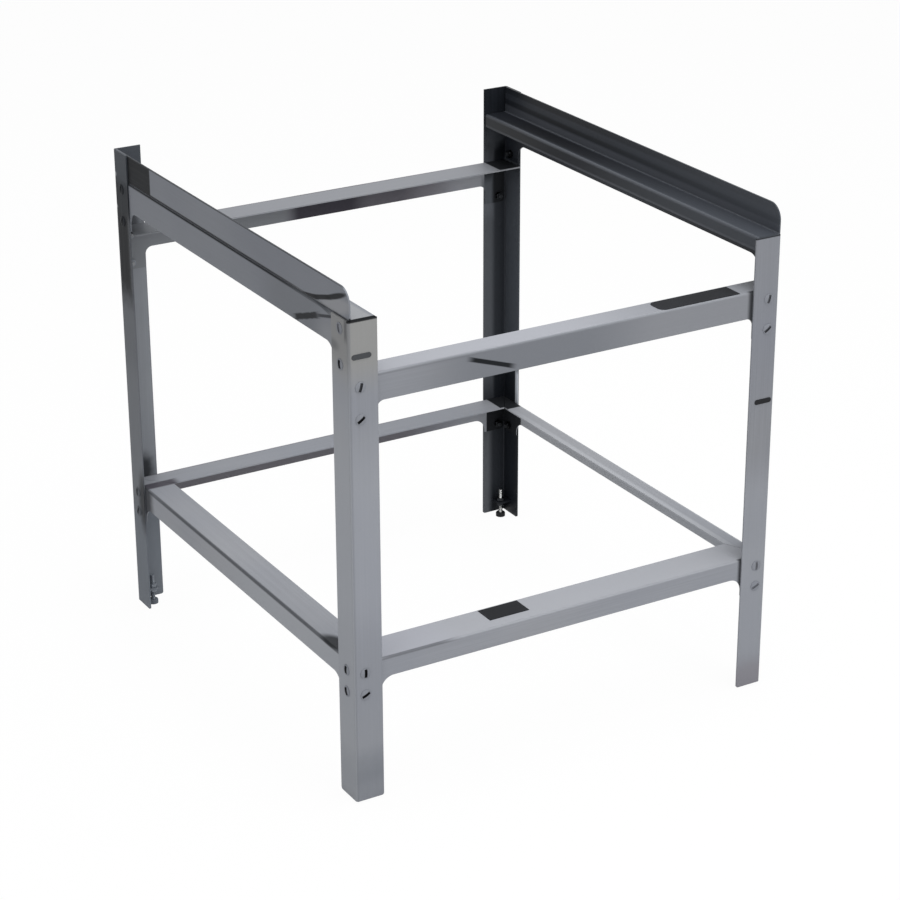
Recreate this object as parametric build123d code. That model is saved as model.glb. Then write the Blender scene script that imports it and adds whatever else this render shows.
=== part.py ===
from build123d import *
import os

# A knock-down sheet steel stand for a tabletop griddle: four angle legs, two support rails
# that carry the griddle, and folded rails bolted between the legs.
# Millimetres. +X right, +Y to the rear, +Z up, floor at Z 0, origin at the centre of the base.

# Overall size
WIDTH = 610.0            # over the outer faces of the legs, left to right
DEPTH = 650.0            # over the outer faces of the legs, front to rear
SEAT_HEIGHT = 630.0      # floor to the face that the griddle rests on
UPSTAND = 36.0           # height of the side walls and rear legs above the seat

# Sheet
SHEET = 2.0              # thickness of every folded piece
BEND_OUTER = 3.0         # outside radius of a fold

# Legs
LEG_FLANGE_X = 38.0      # flange on the front or rear face
LEG_FLANGE_Y = 40.0      # flange on the side face
LEG_LIFT = 3.0           # floor to the toe of a leg, feet screwed in
LEG_TOE_RADIUS = 3.0     # corners of the flanges at the toe

# Support rails
LEDGE_WIDTH = 35.0       # outer face of the upstand to the inner face of the lip
LIP_DEPTH = 18.0         # seat down to the lip's lower edge
UPSTAND_RADIUS = 20.0    # rounded front corner of the upstand
RAIL_REAR_GAP = 2.0      # rear end of a support rail to the rear flange of the leg

# Folded rails: place of the top face, height of the outer face, depth of the top flange
UPPER_DROP = 71.0        # seat down to the top face of the upper rails
UPPER_FACE = 35.0
UPPER_FRONT_FLANGE = 34.0
UPPER_REAR_FLANGE = 46.0
LOWER_TOP = 190.0        # floor to the top face of the lower rails
LOWER_FRONT_FACE = 26.0
LOWER_FRONT_FLANGE = 51.0
LOWER_REAR_FACE = 31.0
LOWER_REAR_FLANGE = 42.0
LOWER_SIDE_FACE = 30.0
LOWER_LEFT_FLANGE = 41.0
LOWER_RIGHT_FLANGE = 25.0
APRON_FACE = 39.0
APRON_FLANGE = 30.0
FLARE_RADIUS = 18.0      # sweep from a rail's lower edge into its end tab
UPPER_FLARE_RADIUS = 10.0  # the same on the upper rails
TAB_RADIUS = 4.0         # lower corner of an end tab
TAB_SETBACK = 1.0        # end tab's edge behind the edge of the leg
END_GAP = 1.5            # rail end to the tab of the rail round the corner
MITRE_GAP = 1.0          # between the flanges of two lower rails at a corner

# Screws of the corner joints
BOLT_RADIUS = 3.0
BOLT_LENGTH = 12.0
BOLT_HOLE_CLEARANCE = 0.2
BOLT_HEAD_RADIUS = 7.0
BOLT_HEAD_HEIGHT = 3.3
BOLT_HEAD_DOME = 2.6     # rounding of the mushroom head
BOLT_DRIVE = 2.4         # width of the drive slot
BOLT_DRIVE_DEPTH = 2.0
# How the drive slots were left, in degrees, from the top screw down
FRONT_DRIVE_TURNS = (74.0, 35.0, 88.0, 25.0)
SIDE_DRIVE_TURNS = (15.0, 8.0, 2.0, 20.0)
BOLT_GAUGE_X = 15.0      # leg corner to the screws in the front or rear flange
BOLT_GAUGE_Y = 20.0      # leg corner to the screws in the side flange
BOLT_TOP = 13.0          # rail top to its upper screw
BOLT_EDGE = 10.0         # lower screw to the lower edge of the end tab
UPPER_PITCH = 40.0       # upper screw to lower screw
LOWER_PITCH = 29.0
APRON_PITCH = 44.0
NUT_FLATS = 10.0
NUT_HEIGHT = 5.0
THREAD_CLEARANCE = 0.05

# Flush rivets between a support rail and its apron
RIVET_COUNT = 4
RIVET_RADIUS = 2.0
RIVET_HEAD_RADIUS = 4.0
RIVET_HEAD_HEIGHT = 1.2  # height of the countersunk head
RIVET_TAIL_RADIUS = 3.0
RIVET_TAIL_HEIGHT = 3.0
RIVET_CLEARANCE = 0.05
RIVET_INSET = 17.0       # outer face of the upstand to the rivets
RIVET_END = 80.0         # front and rear face of the stand to the end rivets

# Levelling feet
FOOT_INSET = 16.0        # outer faces of a leg to the foot's axis
FOOT_PLATE = 21.0        # side of the square plate in the toe
FOOT_PLATE_THICKNESS = 3.0
FOOT_PLATE_HEIGHT = 22.0  # floor to the underside of the plate
FOOT_PLATE_CORNER = 2.0  # clears the fold of the leg
FOOT_PLATE_ROUND = 5.0   # free corner
STEM_RADIUS = 3.0
STEM_LENGTH = 40.0
STEM_CLEARANCE = 0.08
STEM_CHAMFER = 0.6
JAM_NUT_HEIGHT = 4.0
PAD_RADIUS = 7.0
PAD_HEIGHT = 6.5
PAD_EDGE = 2.0           # rounded upper edge
PAD_SOCKET_DEPTH = 3.5
PAD_SOCKET_GAP = 0.3     # end of the stem to the floor of its socket

# Plugged slots in the front legs
SLOT_LENGTH = 24.0
SLOT_HEIGHT = 5.0
SLOT_GAUGE = 17.0        # leg corner to the middle of the slot
SLOT_LEFT_RISE = 25.0    # top of the upper rail up to the front left leg's slot
SLOT_RIGHT_DROP = 150.0  # top of the upper rail down to the front right leg's slot
PLUG_RIM = 0.8           # cover beyond the slot
PLUG_PROUD = 0.8         # cover above the face of the leg
PLUG_BODY = 5.0          # body behind the cover
PLUG_CLEARANCE = 0.1

# Blank plates on the front rails
PLATE_THICKNESS = 0.6
LOWER_PLATE_LENGTH = 57.0
LOWER_PLATE_DEPTH = 30.0
LOWER_PLATE_X = -74.0    # middle of the stand to the middle of the plate
LOWER_PLATE_INSET = 34.0  # rail's front face to the middle of the plate
UPPER_PLATE_LENGTH = 118.0
UPPER_PLATE_DEPTH = 30.0
UPPER_PLATE_END = 116.0  # right face of the stand to the middle of the plate
UPPER_PLATE_INSET = 17.0
UPPER_PLATE_ROUND = 9.0  # corners at the left

# Places that follow from the sizes above
BEND_INNER = BEND_OUTER - SHEET
HALF_X = WIDTH / 2
HALF_Y = DEPTH / 2
INNER_X = HALF_X - SHEET          # inner face of a side flange
INNER_Y = HALF_Y - SHEET          # inner face of a front or rear flange
LEDGE_UNDER = SEAT_HEIGHT - SHEET
TOP = SEAT_HEIGHT + UPSTAND
UPPER_TOP = SEAT_HEIGHT - UPPER_DROP
END_X = INNER_X - SHEET - END_GAP  # half length of the front and rear rails
END_Y = INNER_Y - SHEET - END_GAP  # half length of the side rails
HOLE_RADIUS = BOLT_RADIUS + BOLT_HOLE_CLEARANCE
STEM_BASE = PAD_HEIGHT - PAD_SOCKET_DEPTH + PAD_SOCKET_GAP

# Corner name: side (-1 left, 1 right) and end (-1 front, 1 rear)
CORNERS = {
    "front_left": (-1, -1),
    "front_right": (1, -1),
    "rear_left": (-1, 1),
    "rear_right": (1, 1),
}


def save(name, solids):
    """Write one piece, or a group of like pieces, to its own file."""
    shape = Compound(children=solids) if isinstance(solids, list) else solids
    export_step(shape, f"parts/{name}.step")


def at_corner(shape, side, end):
    """Carry a piece modelled at the front left corner to another corner."""
    if side > 0:
        shape = mirror(shape, about=Plane.YZ)
    if end > 0:
        shape = mirror(shape, about=Plane.XZ)
    return shape


def angle_section(along_x, along_y):
    """Folded angle: outside corner at the origin, one flange on +X and one on +Y."""
    section = Polygon((0, 0), (along_x, 0), (along_x, SHEET), (SHEET, SHEET),
                      (SHEET, along_y), (0, along_y), align=None)
    outer = section.vertices().sort_by_distance((0, 0, 0))[0]
    section = fillet(outer, BEND_OUTER)
    inner = section.vertices().sort_by_distance((SHEET, SHEET, 0))[0]
    return fillet(inner, BEND_INNER)


def joint_heights(top, pitch):
    """Heights of the two screws that hold a rail with its top face at top."""
    return (top - BOLT_TOP, top - BOLT_TOP - pitch)


FRONT_JOINTS = joint_heights(UPPER_TOP, UPPER_PITCH) + joint_heights(LOWER_TOP, LOWER_PITCH)
SIDE_JOINTS = joint_heights(LEDGE_UNDER, APRON_PITCH) + joint_heights(LOWER_TOP, LOWER_PITCH)
FRONT_SCREW_X = BOLT_GAUGE_X - HALF_X
SIDE_SCREW_Y = BOLT_GAUGE_Y - HALF_Y


def on_front(shape, height):
    """Turn a piece from +Z to +Y and set it on the front flange of the front left leg."""
    return Pos(FRONT_SCREW_X, -HALF_Y, height) * Rot(-90, 0, 0) * shape


def on_side(shape, height):
    """Turn a piece from +Z to +X and set it on the side flange of the front left leg."""
    return Pos(-HALF_X, SIDE_SCREW_Y, height) * Rot(0, 90, 0) * shape


def joint_set(shape, way=1):
    """One copy of a fastener at every joint of the front left leg, each turned on its axis."""
    fronts = [on_front(Rot(0, 0, way * turn) * shape, height)
              for turn, height in zip(FRONT_DRIVE_TURNS, FRONT_JOINTS)]
    sides = [on_side(Rot(0, 0, way * turn) * shape, height)
             for turn, height in zip(SIDE_DRIVE_TURNS, SIDE_JOINTS)]
    return fronts + sides


def leg(top):
    """Front left leg up to a given height, with its joint holes."""
    length = top - LEG_LIFT
    body = extrude(angle_section(LEG_FLANGE_X, LEG_FLANGE_Y), length)
    toes = body.edges().group_by(Axis.Z)[0]
    front_toe = body.edges().filter_by(Axis.Y).group_by(Axis.Z)[0].sort_by(Axis.X)[-1]
    side_toe = toes.filter_by(Axis.X).sort_by(Axis.Y)[-1]
    body = fillet([front_toe, side_toe], LEG_TOE_RADIUS)
    body = Pos(-HALF_X, -HALF_Y, LEG_LIFT) * body
    drill = Cylinder(HOLE_RADIUS, 3 * SHEET)
    for hole in joint_set(drill):
        body -= hole
    return body


def slot_outline(grow):
    """Rounded slot, made larger all round by grow."""
    return SlotOverall(SLOT_LENGTH + 2 * grow, SLOT_HEIGHT + 2 * grow)


def slot_place(height):
    """Middle of a slot on the front flange of the front left leg, looking out of its face."""
    middle = (SLOT_GAUGE - HALF_X, -HALF_Y, height)
    return Plane(origin=middle, x_dir=(1, 0, 0), z_dir=(0, -1, 0))


def slot_cut(height):
    """The space of a slot through the front flange."""
    return extrude(slot_place(height) * slot_outline(0), 2 * SHEET, both=True)


def slot_plug(height):
    """Snap-in plug: a thin cover on the leg's face and a body through the slot."""
    plane = slot_place(height)
    cover = extrude(plane * slot_outline(PLUG_RIM), PLUG_PROUD)
    rim = cover.faces().sort_by(Axis.Y)[0].edges()
    cover = fillet(rim, PLUG_PROUD / 2)
    body = extrude(plane * slot_outline(-PLUG_CLEARANCE), -PLUG_BODY)
    return cover + body


def mitre(half, flange, neighbour):
    """Space beyond the +X end of a rail's flange, where a neighbour's flange meets it."""
    corner = half + END_GAP + SHEET
    reach = flange + SHEET
    lean = reach * neighbour / flange
    start = corner - MITRE_GAP / 2
    outline = Polygon((start, 0), (corner + lean, 0), (corner + lean, reach),
                      (start - lean, reach), align=None)
    return extrude(outline, 2 * SHEET, both=True)


def folded_rail(half, face, flange, tab, tab_edge, gauge, pitch, flare, neighbours=()):
    """Angle rail along X: outer face on Y 0, top face on Z 0, flange towards +Y.

    half: half its length. tab: depth of the dropped end tabs, whose inner edge is at tab_edge.
    gauge: distance from the middle to the screws. flare: sweep from the lower edge into the tabs.
    neighbours: flange depths of the rails that meet this one in a mitre at its -X and +X ends.
    """
    section = Plane.YZ * (Rot(0, 0, -90) * angle_section(tab, flange))
    body = extrude(section, half, both=True)
    notch = Rectangle(2 * tab_edge, 2 * (tab - face))
    notch = fillet(notch.vertices().group_by(Axis.Y)[-1], flare)
    below = Plane(origin=(0, 0, -tab), x_dir=(1, 0, 0), z_dir=(0, -1, 0))
    body -= extrude(below * notch, 2 * SHEET, both=True)
    tips = body.edges().filter_by(Axis.Y).group_by(Axis.Z)[0]
    ends = [tips.sort_by(Axis.X)[0], tips.sort_by(Axis.X)[-1]]
    body = fillet(ends, TAB_RADIUS)
    drill = Rot(90, 0, 0) * Cylinder(HOLE_RADIUS, 4 * SHEET)
    for end in (-1, 1):
        for depth in (BOLT_TOP, BOLT_TOP + pitch):
            body -= Pos(end * gauge, 0, -depth) * drill
    if neighbours:
        low_end, high_end = neighbours
        body -= mirror(mitre(half, flange, low_end), about=Plane.YZ)
        body -= mitre(half, flange, high_end)
    return body


def to_front(rail, top):
    """Front rail: its outer face against the inner face of the front flanges."""
    return Pos(0, -INNER_Y, top) * rail


def to_rear(rail, top):
    """Rear rail, turned to face the rear."""
    return Pos(0, INNER_Y, top) * Rot(0, 0, 180) * rail


def to_left(rail, top):
    """Left rail, turned to face the left."""
    return Pos(-INNER_X, 0, top) * Rot(0, 0, -90) * rail


def cross_rail(face, flange, pitch, flare, neighbours=()):
    """Rail between the left and right legs."""
    tab = BOLT_TOP + pitch + BOLT_EDGE
    tab_edge = HALF_X - LEG_FLANGE_X + TAB_SETBACK
    return folded_rail(END_X, face, flange, tab, tab_edge, -FRONT_SCREW_X, pitch, flare, neighbours)


def side_rail(face, flange, pitch, neighbours=()):
    """Rail between the front and rear legs of one side."""
    tab = BOLT_TOP + pitch + BOLT_EDGE
    tab_edge = HALF_Y - LEG_FLANGE_Y + TAB_SETBACK
    return folded_rail(END_Y, face, flange, tab, tab_edge, -SIDE_SCREW_Y, pitch, FLARE_RADIUS, neighbours)


def rivet_places():
    """Rivets of the left support rail, evenly spaced from front to rear."""
    first = RIVET_END - HALF_Y
    step = -2 * first / (RIVET_COUNT - 1)
    return [Pos(RIVET_INSET - INNER_X, first + step * i, SEAT_HEIGHT) for i in range(RIVET_COUNT)]


def rivet_head(grow):
    """Countersunk head below Z 0, made larger all round by grow."""
    head = Cone(RIVET_RADIUS + grow, RIVET_HEAD_RADIUS + grow, RIVET_HEAD_HEIGHT)
    return Pos(0, 0, -RIVET_HEAD_HEIGHT / 2) * head


def rivet_holes():
    """Holes of those rivets, countersunk in the ledge and plain in the apron's flange."""
    drill = Pos(0, 0, -SHEET) * Cylinder(RIVET_RADIUS + RIVET_CLEARANCE, 6 * SHEET)
    cut = drill + rivet_head(RIVET_CLEARANCE)
    return [place * cut for place in rivet_places()]


def apron():
    """Left apron below the support rail, with rivet holes in its top flange."""
    body = to_left(side_rail(APRON_FACE, APRON_FLANGE, APRON_PITCH), LEDGE_UNDER)
    for hole in rivet_holes():
        body -= hole
    return body


def support_rail():
    """Left support rail: upstand, ledge and lip folded from one sheet, open at the front."""
    outer = -INNER_X
    lip = outer + LEDGE_WIDTH
    section = Polygon((outer, TOP), (outer, LEDGE_UNDER), (lip - SHEET, LEDGE_UNDER),
                      (lip - SHEET, SEAT_HEIGHT - LIP_DEPTH), (lip, SEAT_HEIGHT - LIP_DEPTH),
                      (lip, SEAT_HEIGHT), (outer + SHEET, SEAT_HEIGHT), (outer + SHEET, TOP),
                      align=None)
    for corner in ((outer, LEDGE_UNDER), (lip, SEAT_HEIGHT)):
        section = fillet(section.vertices().sort_by_distance((*corner, 0))[0], BEND_OUTER)
    for corner in ((lip - SHEET, LEDGE_UNDER), (outer + SHEET, SEAT_HEIGHT)):
        section = fillet(section.vertices().sort_by_distance((*corner, 0))[0], BEND_INNER)
    rear = INNER_Y - RAIL_REAR_GAP
    plane = Plane(origin=(0, rear, 0), x_dir=(1, 0, 0), z_dir=(0, -1, 0))
    body = extrude(plane * section, rear + HALF_Y)
    front_edges = body.edges().filter_by(Axis.X).group_by(Axis.Y)[0]
    body = fillet(front_edges.sort_by(Axis.Z)[-1], UPSTAND_RADIUS)
    toe = Box(4 * SHEET, 2 * (SHEET + END_GAP), 2 * LIP_DEPTH)
    toe = Pos(lip - SHEET / 2, -HALF_Y, LEDGE_UNDER - LIP_DEPTH) * toe
    body -= toe
    for hole in rivet_holes():
        body -= hole
    return body


def bolt():
    """Slotted mushroom head screw: shank from Z 0 upward, head below."""
    head = Pos(0, 0, -BOLT_HEAD_HEIGHT / 2) * Cylinder(BOLT_HEAD_RADIUS, BOLT_HEAD_HEIGHT)
    head = fillet(head.edges().sort_by(Axis.Z)[0], BOLT_HEAD_DOME)
    drive = Box(4 * BOLT_HEAD_RADIUS, BOLT_DRIVE, 2 * BOLT_DRIVE_DEPTH)
    head -= Pos(0, 0, -BOLT_HEAD_HEIGHT) * drive
    shank = Pos(0, 0, BOLT_LENGTH / 2) * Cylinder(BOLT_RADIUS, BOLT_LENGTH)
    return head + shank


def nut(height, bore):
    """Hexagon nut from Z 0 upward."""
    body = extrude(RegularPolygon(NUT_FLATS / 2, 6, major_radius=False), height)
    return body - Cylinder(bore, 4 * height)


def rivet():
    """Blind rivet: flush head in the ledge, shank through two sheets, bulged tail below."""
    shank = Pos(0, 0, -SHEET) * Cylinder(RIVET_RADIUS, 2 * SHEET)
    tail = Cylinder(RIVET_TAIL_RADIUS, RIVET_TAIL_HEIGHT)
    tail = Pos(0, 0, -2 * SHEET - RIVET_TAIL_HEIGHT / 2) * tail
    return rivet_head(0) + shank + tail


def foot_axis(height):
    """A point on the front left foot's axis."""
    return Pos(FOOT_INSET - HALF_X, FOOT_INSET - HALF_Y, height)


def foot_plate():
    """Square plate in the toe of the front left leg, one corner cut to clear the fold."""
    size = (FOOT_PLATE, FOOT_PLATE, FOOT_PLATE_THICKNESS)
    plate = Pos(-INNER_X, -INNER_Y, FOOT_PLATE_HEIGHT) * Box(*size, align=Align.MIN)
    fold = plate.edges().filter_by(Axis.Z).sort_by_distance((-INNER_X, -INNER_Y, 0))[0]
    plate = chamfer(fold, FOOT_PLATE_CORNER)
    free = plate.edges().filter_by(Axis.Z).sort_by_distance((-INNER_X, -INNER_Y, 0))[-1]
    plate = fillet(free, FOOT_PLATE_ROUND)
    bore = Cylinder(STEM_RADIUS + STEM_CLEARANCE, 4 * FOOT_PLATE_THICKNESS)
    return plate - foot_axis(FOOT_PLATE_HEIGHT) * bore


def foot_stem():
    """Threaded stem as a plain rod, its lower end in the pad."""
    stem = Pos(0, 0, STEM_LENGTH / 2) * Cylinder(STEM_RADIUS, STEM_LENGTH)
    stem = chamfer(stem.edges().filter_by(GeomType.CIRCLE), STEM_CHAMFER)
    return foot_axis(STEM_BASE) * stem


def foot_pad():
    """Round pad with a socket for the stem."""
    pad = Pos(0, 0, PAD_HEIGHT / 2) * Cylinder(PAD_RADIUS, PAD_HEIGHT)
    pad = fillet(pad.edges().sort_by(Axis.Z)[-1], PAD_EDGE)
    socket = Cylinder(STEM_RADIUS + STEM_CLEARANCE, 2 * PAD_SOCKET_DEPTH)
    return foot_axis(0) * (pad - Pos(0, 0, PAD_HEIGHT) * socket)


def lower_plate():
    """Blank plate on the top flange of the front lower rail."""
    size = (LOWER_PLATE_LENGTH, LOWER_PLATE_DEPTH, PLATE_THICKNESS)
    place = Pos(LOWER_PLATE_X, LOWER_PLATE_INSET - INNER_Y, LOWER_TOP + PLATE_THICKNESS / 2)
    return place * Box(*size)


def upper_plate():
    """Blank plate on the top flange of the front upper rail, rounded at its left end."""
    outline = Rectangle(UPPER_PLATE_LENGTH, UPPER_PLATE_DEPTH)
    outline = fillet(outline.vertices().group_by(Axis.X)[0], UPPER_PLATE_ROUND)
    place = Pos(HALF_X - UPPER_PLATE_END, UPPER_PLATE_INSET - INNER_Y, UPPER_TOP)
    return place * extrude(outline, PLATE_THICKNESS)


os.makedirs("parts", exist_ok=True)

# Legs, with a plugged slot in each front leg
SLOT_HEIGHTS = {
    "front_left": UPPER_TOP + SLOT_LEFT_RISE,
    "front_right": UPPER_TOP - SLOT_RIGHT_DROP,
}
for name, (side, end) in CORNERS.items():
    corner_leg = leg(TOP if end > 0 else LEDGE_UNDER)
    if name in SLOT_HEIGHTS:
        corner_leg -= slot_cut(SLOT_HEIGHTS[name])
        save(f"{name}_slot_plug", at_corner(slot_plug(SLOT_HEIGHTS[name]), side, end))
    save(f"{name}_leg", at_corner(corner_leg, side, end))

# Support rails, aprons and their rivets
rivets = [place * rivet() for place in rivet_places()]
for name, side in (("left", -1), ("right", 1)):
    save(f"{name}_support_rail", at_corner(support_rail(), side, -1))
    save(f"{name}_apron", at_corner(apron(), side, -1))
    save(f"{name}_rail_rivets", [at_corner(each, side, -1) for each in rivets])

# Upper cross rails
UPPER_RAIL = (UPPER_PITCH, UPPER_FLARE_RADIUS)
save("front_upper_rail", to_front(cross_rail(UPPER_FACE, UPPER_FRONT_FLANGE, *UPPER_RAIL), UPPER_TOP))
save("rear_upper_rail", to_rear(cross_rail(UPPER_FACE, UPPER_REAR_FLANGE, *UPPER_RAIL), UPPER_TOP))

# Lower rails, their flanges mitred at the corners
LOWER_RAIL = (LOWER_PITCH, FLARE_RADIUS)
side_pair = (LOWER_LEFT_FLANGE, LOWER_RIGHT_FLANGE)
cross_pair = (LOWER_REAR_FLANGE, LOWER_FRONT_FLANGE)
lower_front = cross_rail(LOWER_FRONT_FACE, LOWER_FRONT_FLANGE, *LOWER_RAIL, side_pair)
lower_rear = cross_rail(LOWER_REAR_FACE, LOWER_REAR_FLANGE, *LOWER_RAIL, side_pair[::-1])
save("front_lower_rail", to_front(lower_front, LOWER_TOP))
save("rear_lower_rail", to_rear(lower_rear, LOWER_TOP))
for name, side, flange in (("left", -1, LOWER_LEFT_FLANGE), ("right", 1, LOWER_RIGHT_FLANGE)):
    lower_side = side_rail(LOWER_SIDE_FACE, flange, LOWER_PITCH, cross_pair)
    save(f"{name}_lower_rail", at_corner(to_left(lower_side, LOWER_TOP), side, -1))

# Screws and nuts of each leg, the slots leaning alike on the left and right legs
nut_set = joint_set(Pos(0, 0, 2 * SHEET) * nut(NUT_HEIGHT, BOLT_RADIUS + THREAD_CLEARANCE))
for name, (side, end) in CORNERS.items():
    save(f"{name}_screws", [at_corner(each, side, end) for each in joint_set(bolt(), side)])
    save(f"{name}_nuts", [at_corner(each, side, end) for each in nut_set])

# Levelling feet
stem_bore = STEM_RADIUS + STEM_CLEARANCE
weld_nut = foot_axis(FOOT_PLATE_HEIGHT + FOOT_PLATE_THICKNESS) * nut(NUT_HEIGHT, stem_bore)
jam_nut = foot_axis(FOOT_PLATE_HEIGHT - JAM_NUT_HEIGHT) * nut(JAM_NUT_HEIGHT, stem_bore)
FOOT_PIECES = {
    "foot_plate": foot_plate(),
    "foot_weld_nut": weld_nut,
    "foot_jam_nut": jam_nut,
    "foot_stem": foot_stem(),
    "foot_pad": foot_pad(),
}
for name, (side, end) in CORNERS.items():
    for piece, shape in FOOT_PIECES.items():
        save(f"{name}_{piece}", at_corner(shape, side, end))

# Blank plates on the front rails
save("front_lower_rail_plate", lower_plate())
save("front_upper_rail_plate", upper_plate())
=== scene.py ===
import math

import bpy
from mathutils import Matrix, Vector


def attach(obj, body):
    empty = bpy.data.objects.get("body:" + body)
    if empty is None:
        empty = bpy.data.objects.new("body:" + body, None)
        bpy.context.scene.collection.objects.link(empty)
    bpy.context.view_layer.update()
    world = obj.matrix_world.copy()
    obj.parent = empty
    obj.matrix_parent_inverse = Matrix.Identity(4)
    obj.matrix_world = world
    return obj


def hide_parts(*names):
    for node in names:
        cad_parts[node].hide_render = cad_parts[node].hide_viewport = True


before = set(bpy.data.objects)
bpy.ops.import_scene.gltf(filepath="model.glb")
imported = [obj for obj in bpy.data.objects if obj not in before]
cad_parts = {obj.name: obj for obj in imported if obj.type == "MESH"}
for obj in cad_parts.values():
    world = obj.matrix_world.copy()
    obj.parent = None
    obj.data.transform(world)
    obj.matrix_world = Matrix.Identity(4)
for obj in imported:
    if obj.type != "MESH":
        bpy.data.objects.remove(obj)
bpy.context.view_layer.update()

# Griddle stand: folded steel legs and rails, the right side in black, joined by slotted
# mushroom screws and standing on levelling feet. The frame is in metres, +X right, +Y to the
# rear, floor at Z 0. Sizes here are in millimetres, unless a comment says otherwise.
MM = 0.001
HALF_X, HALF_Y = 305.0, 325.0      # middle of the stand to the outer faces of the legs
CORNERS = {
    # leg: the signs of its X and Y
    "front_left": (-1, -1),
    "front_right": (1, -1),
    "rear_left": (-1, 1),
    "rear_right": (1, 1),
}

# Joint screws of one leg, in its front or rear flange and in its side flange: height from the
# floor, turn of the drive slot in degrees, how strong the painted shade in the slot is
FRONT_SCREWS = ((546, 74, 0.85), (506, 35, 1.0), (177, 88, 1.0), (148, 25, 1.0))
SIDE_SCREWS = ((615, 15, 0.35), (571, 8, 1.0), (177, 2, 1.0), (148, 20, 1.0))
FRONT_GAUGE, SIDE_GAUGE = 15.0, 20.0   # leg corner to the screws
HEAD_RADIUS, HEAD_RIM, HEAD_CROWN = 7.0, 0.6, 1.2
HEAD_SIDES, CROWN_RINGS = 64, 8
DRIVE_WIDTH, DRIVE_DEPTH = 2.4, 1.2
SCREW_LENGTH = 12.0
SHANK_SUNK = 0.3                   # how far the shank reaches into the head
JOINT_STACK = 4.0                  # leg and rail tab together
NUT_FLATS, NUT_HEIGHT, NUT_CHAMFER = 10.0, 5.0, 0.7
NUT_ROUND = 0.57                   # radius that the corners are turned to, as a share of the flats
NUT_CLEARANCE = 0.06               # between the thread and a nut's bore

# Levelling feet
FOOT_INSET = 16.0                  # outer faces of a leg to the foot's axis
STEM_BASE, STEM_TOP = 3.3, 43.3
STEM_RADIUS, STEM_ROOT = 2.98, 2.42
THREAD_PITCH = 1.0
THREAD_CHAMFER = 0.6
THREAD_STEPS = 24                  # facets in one turn
SPARE_TURNS = 3                    # wound past the ends and cut off
CREST_CLEARANCE = 0.01             # keeps the chamfering bar off the thread's crest
PLATE_UNDER, PLATE_THICKNESS = 22.0, 3.0
JAM_NUT_HEIGHT = 4.0

# Modelling
BAR_SIDES = 48
SAME_POINT = 0.001                 # points nearer than this are one
CUT_PAST = 1.0                     # how far a cutter passes what it cuts
SHARP_EDGE = math.radians(30)      # edges that bend more than this stay sharp
SHARP_THREAD_EDGE = math.radians(35)

# Camera: matched to the edges of the legs and rails in a 900 by 900 picture
CAMERA_PLACE = (-1.5871, -2.7388, 1.6405)  # metres
CAMERA_TURN = -30.388              # degrees round the stand, 0 looks along +Y
CAMERA_DROP = 23.178               # degrees below the horizon
CAMERA_ROLL = -0.189               # degrees
CAMERA_FOCUS = 2580.3              # focal length in picture pixels
PICTURE_SIDE = 900
SENSOR = 36.0

# Finishes, as sRGB: two tones that cloud into each other
LEG_GREY = ("898B8F", "83868E")
RIGHT_LEG_GREY = ("818388", "7C7F87")
REAR_LEG_GREY = ("86898E", "7E8288")
RAIL_GREY = ("8F9196", "888B92")
PALE_RAIL_GREY = ("94969B", "8D9097")
FRONT_RAIL_GREY = ("898B90", "82858C")
# The left rails' grey is the same paint made darker: painted shade on the left side
APRON_GREY = ("7A7D83", "74777E")
BLACK_RAIL = ("24272D", "2B2F36")
BLACK_LEG = ("191C21", "1F2228")
BLACK_SATIN = dict(rough=0.38, shine=0.13, metal=0.0, streak=0.3)
NEAR_BLACK = "17191C"                    # painted shade in gaps, folds and corners; also dark streaks and black ends
# painted shade along a fold
FOLD_SHADE = "33363A"
DEEP_SHADE = "1B1D20"              # beside the front right leg, and the apron's heavy streak
MITRE_SHADE = "3E3B43"            # painted shade where the lower rails' flanges meet

# Sizes of the patterns in the finishes, from bump to bump
BRUSH_LINE, BRUSH_RUN = 1.8, 140.0
CLOUD = 220.0
MARK_RIM = 9.0
ZINC_HAZE = 4.0
DUST_PATCH = 25.0
NYLON_GRIT, RUBBER_GRIT = 0.8, 1.2
BRUSH_DEPTH, GRIT_DEPTH = 0.2, 0.3
COLOUR_A, COLOUR_B, COLOUR_OUT = 6, 7, 2   # sockets of a Mix node that mixes colours

# Where marks lie, dirt and painted light and shade alike. One on a single face of the 2 mm
# sheet has its middle just off that face and stops short of the other one, which stays clean.
LEG_LEFT = -305.3                  # outer faces of the left legs
LEG_INNER_RIGHT = 302.7            # inner face of the rear right leg's side flange
LEG_INNER_REAR = 322.7             # inner faces of the rear legs' rear flanges
RAIL_LEFT = -303.3                 # outer faces of the left rails
RAIL_INNER_RIGHT = 300.7           # inner faces of the right rails
RAIL_FRONT = -323.3                # outer faces of the front rails
RAIL_INNER_REAR = 320.4            # inner faces of the rear rails
SKIN, REAR_SKIN = 1.5, 1.7         # half depths on one face, the second on the rear rails
THROUGH = 2.5                      # half depth of a mark on both faces
UPPER_TOP, LOWER_TOP = 559, 190    # top flanges of the upper and lower rails
FRONT_FOLD, LEFT_FOLD = -323, -303     # where a rail's top flange turns down
ALL_ROUND = 60                     # half size that takes in both flanges of a leg
ALL_WIDTH, ALL_DEPTH = 320, 330    # half lengths that take in a whole rail


def linear(colour):
    """An sRGB hex colour as linear RGBA."""
    parts = [int(colour[i:i + 2], 16) / 255 for i in (0, 2, 4)]
    return [p / 12.92 if p <= 0.04045 else ((p + 0.055) / 1.055) ** 2.4 for p in parts] + [1.0]


def add(tree, kind, values=None, links=None, **settings):
    """Add one shader node with its settings, input values and the links into it."""
    node = tree.nodes.new("ShaderNode" + kind)
    for key, value in settings.items():
        setattr(node, key, value)
    for key, value in (values or {}).items():
        node.inputs[key].default_value = value
    for key, socket in (links or {}).items():
        tree.links.new(socket, node.inputs[key])
    return node


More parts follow.
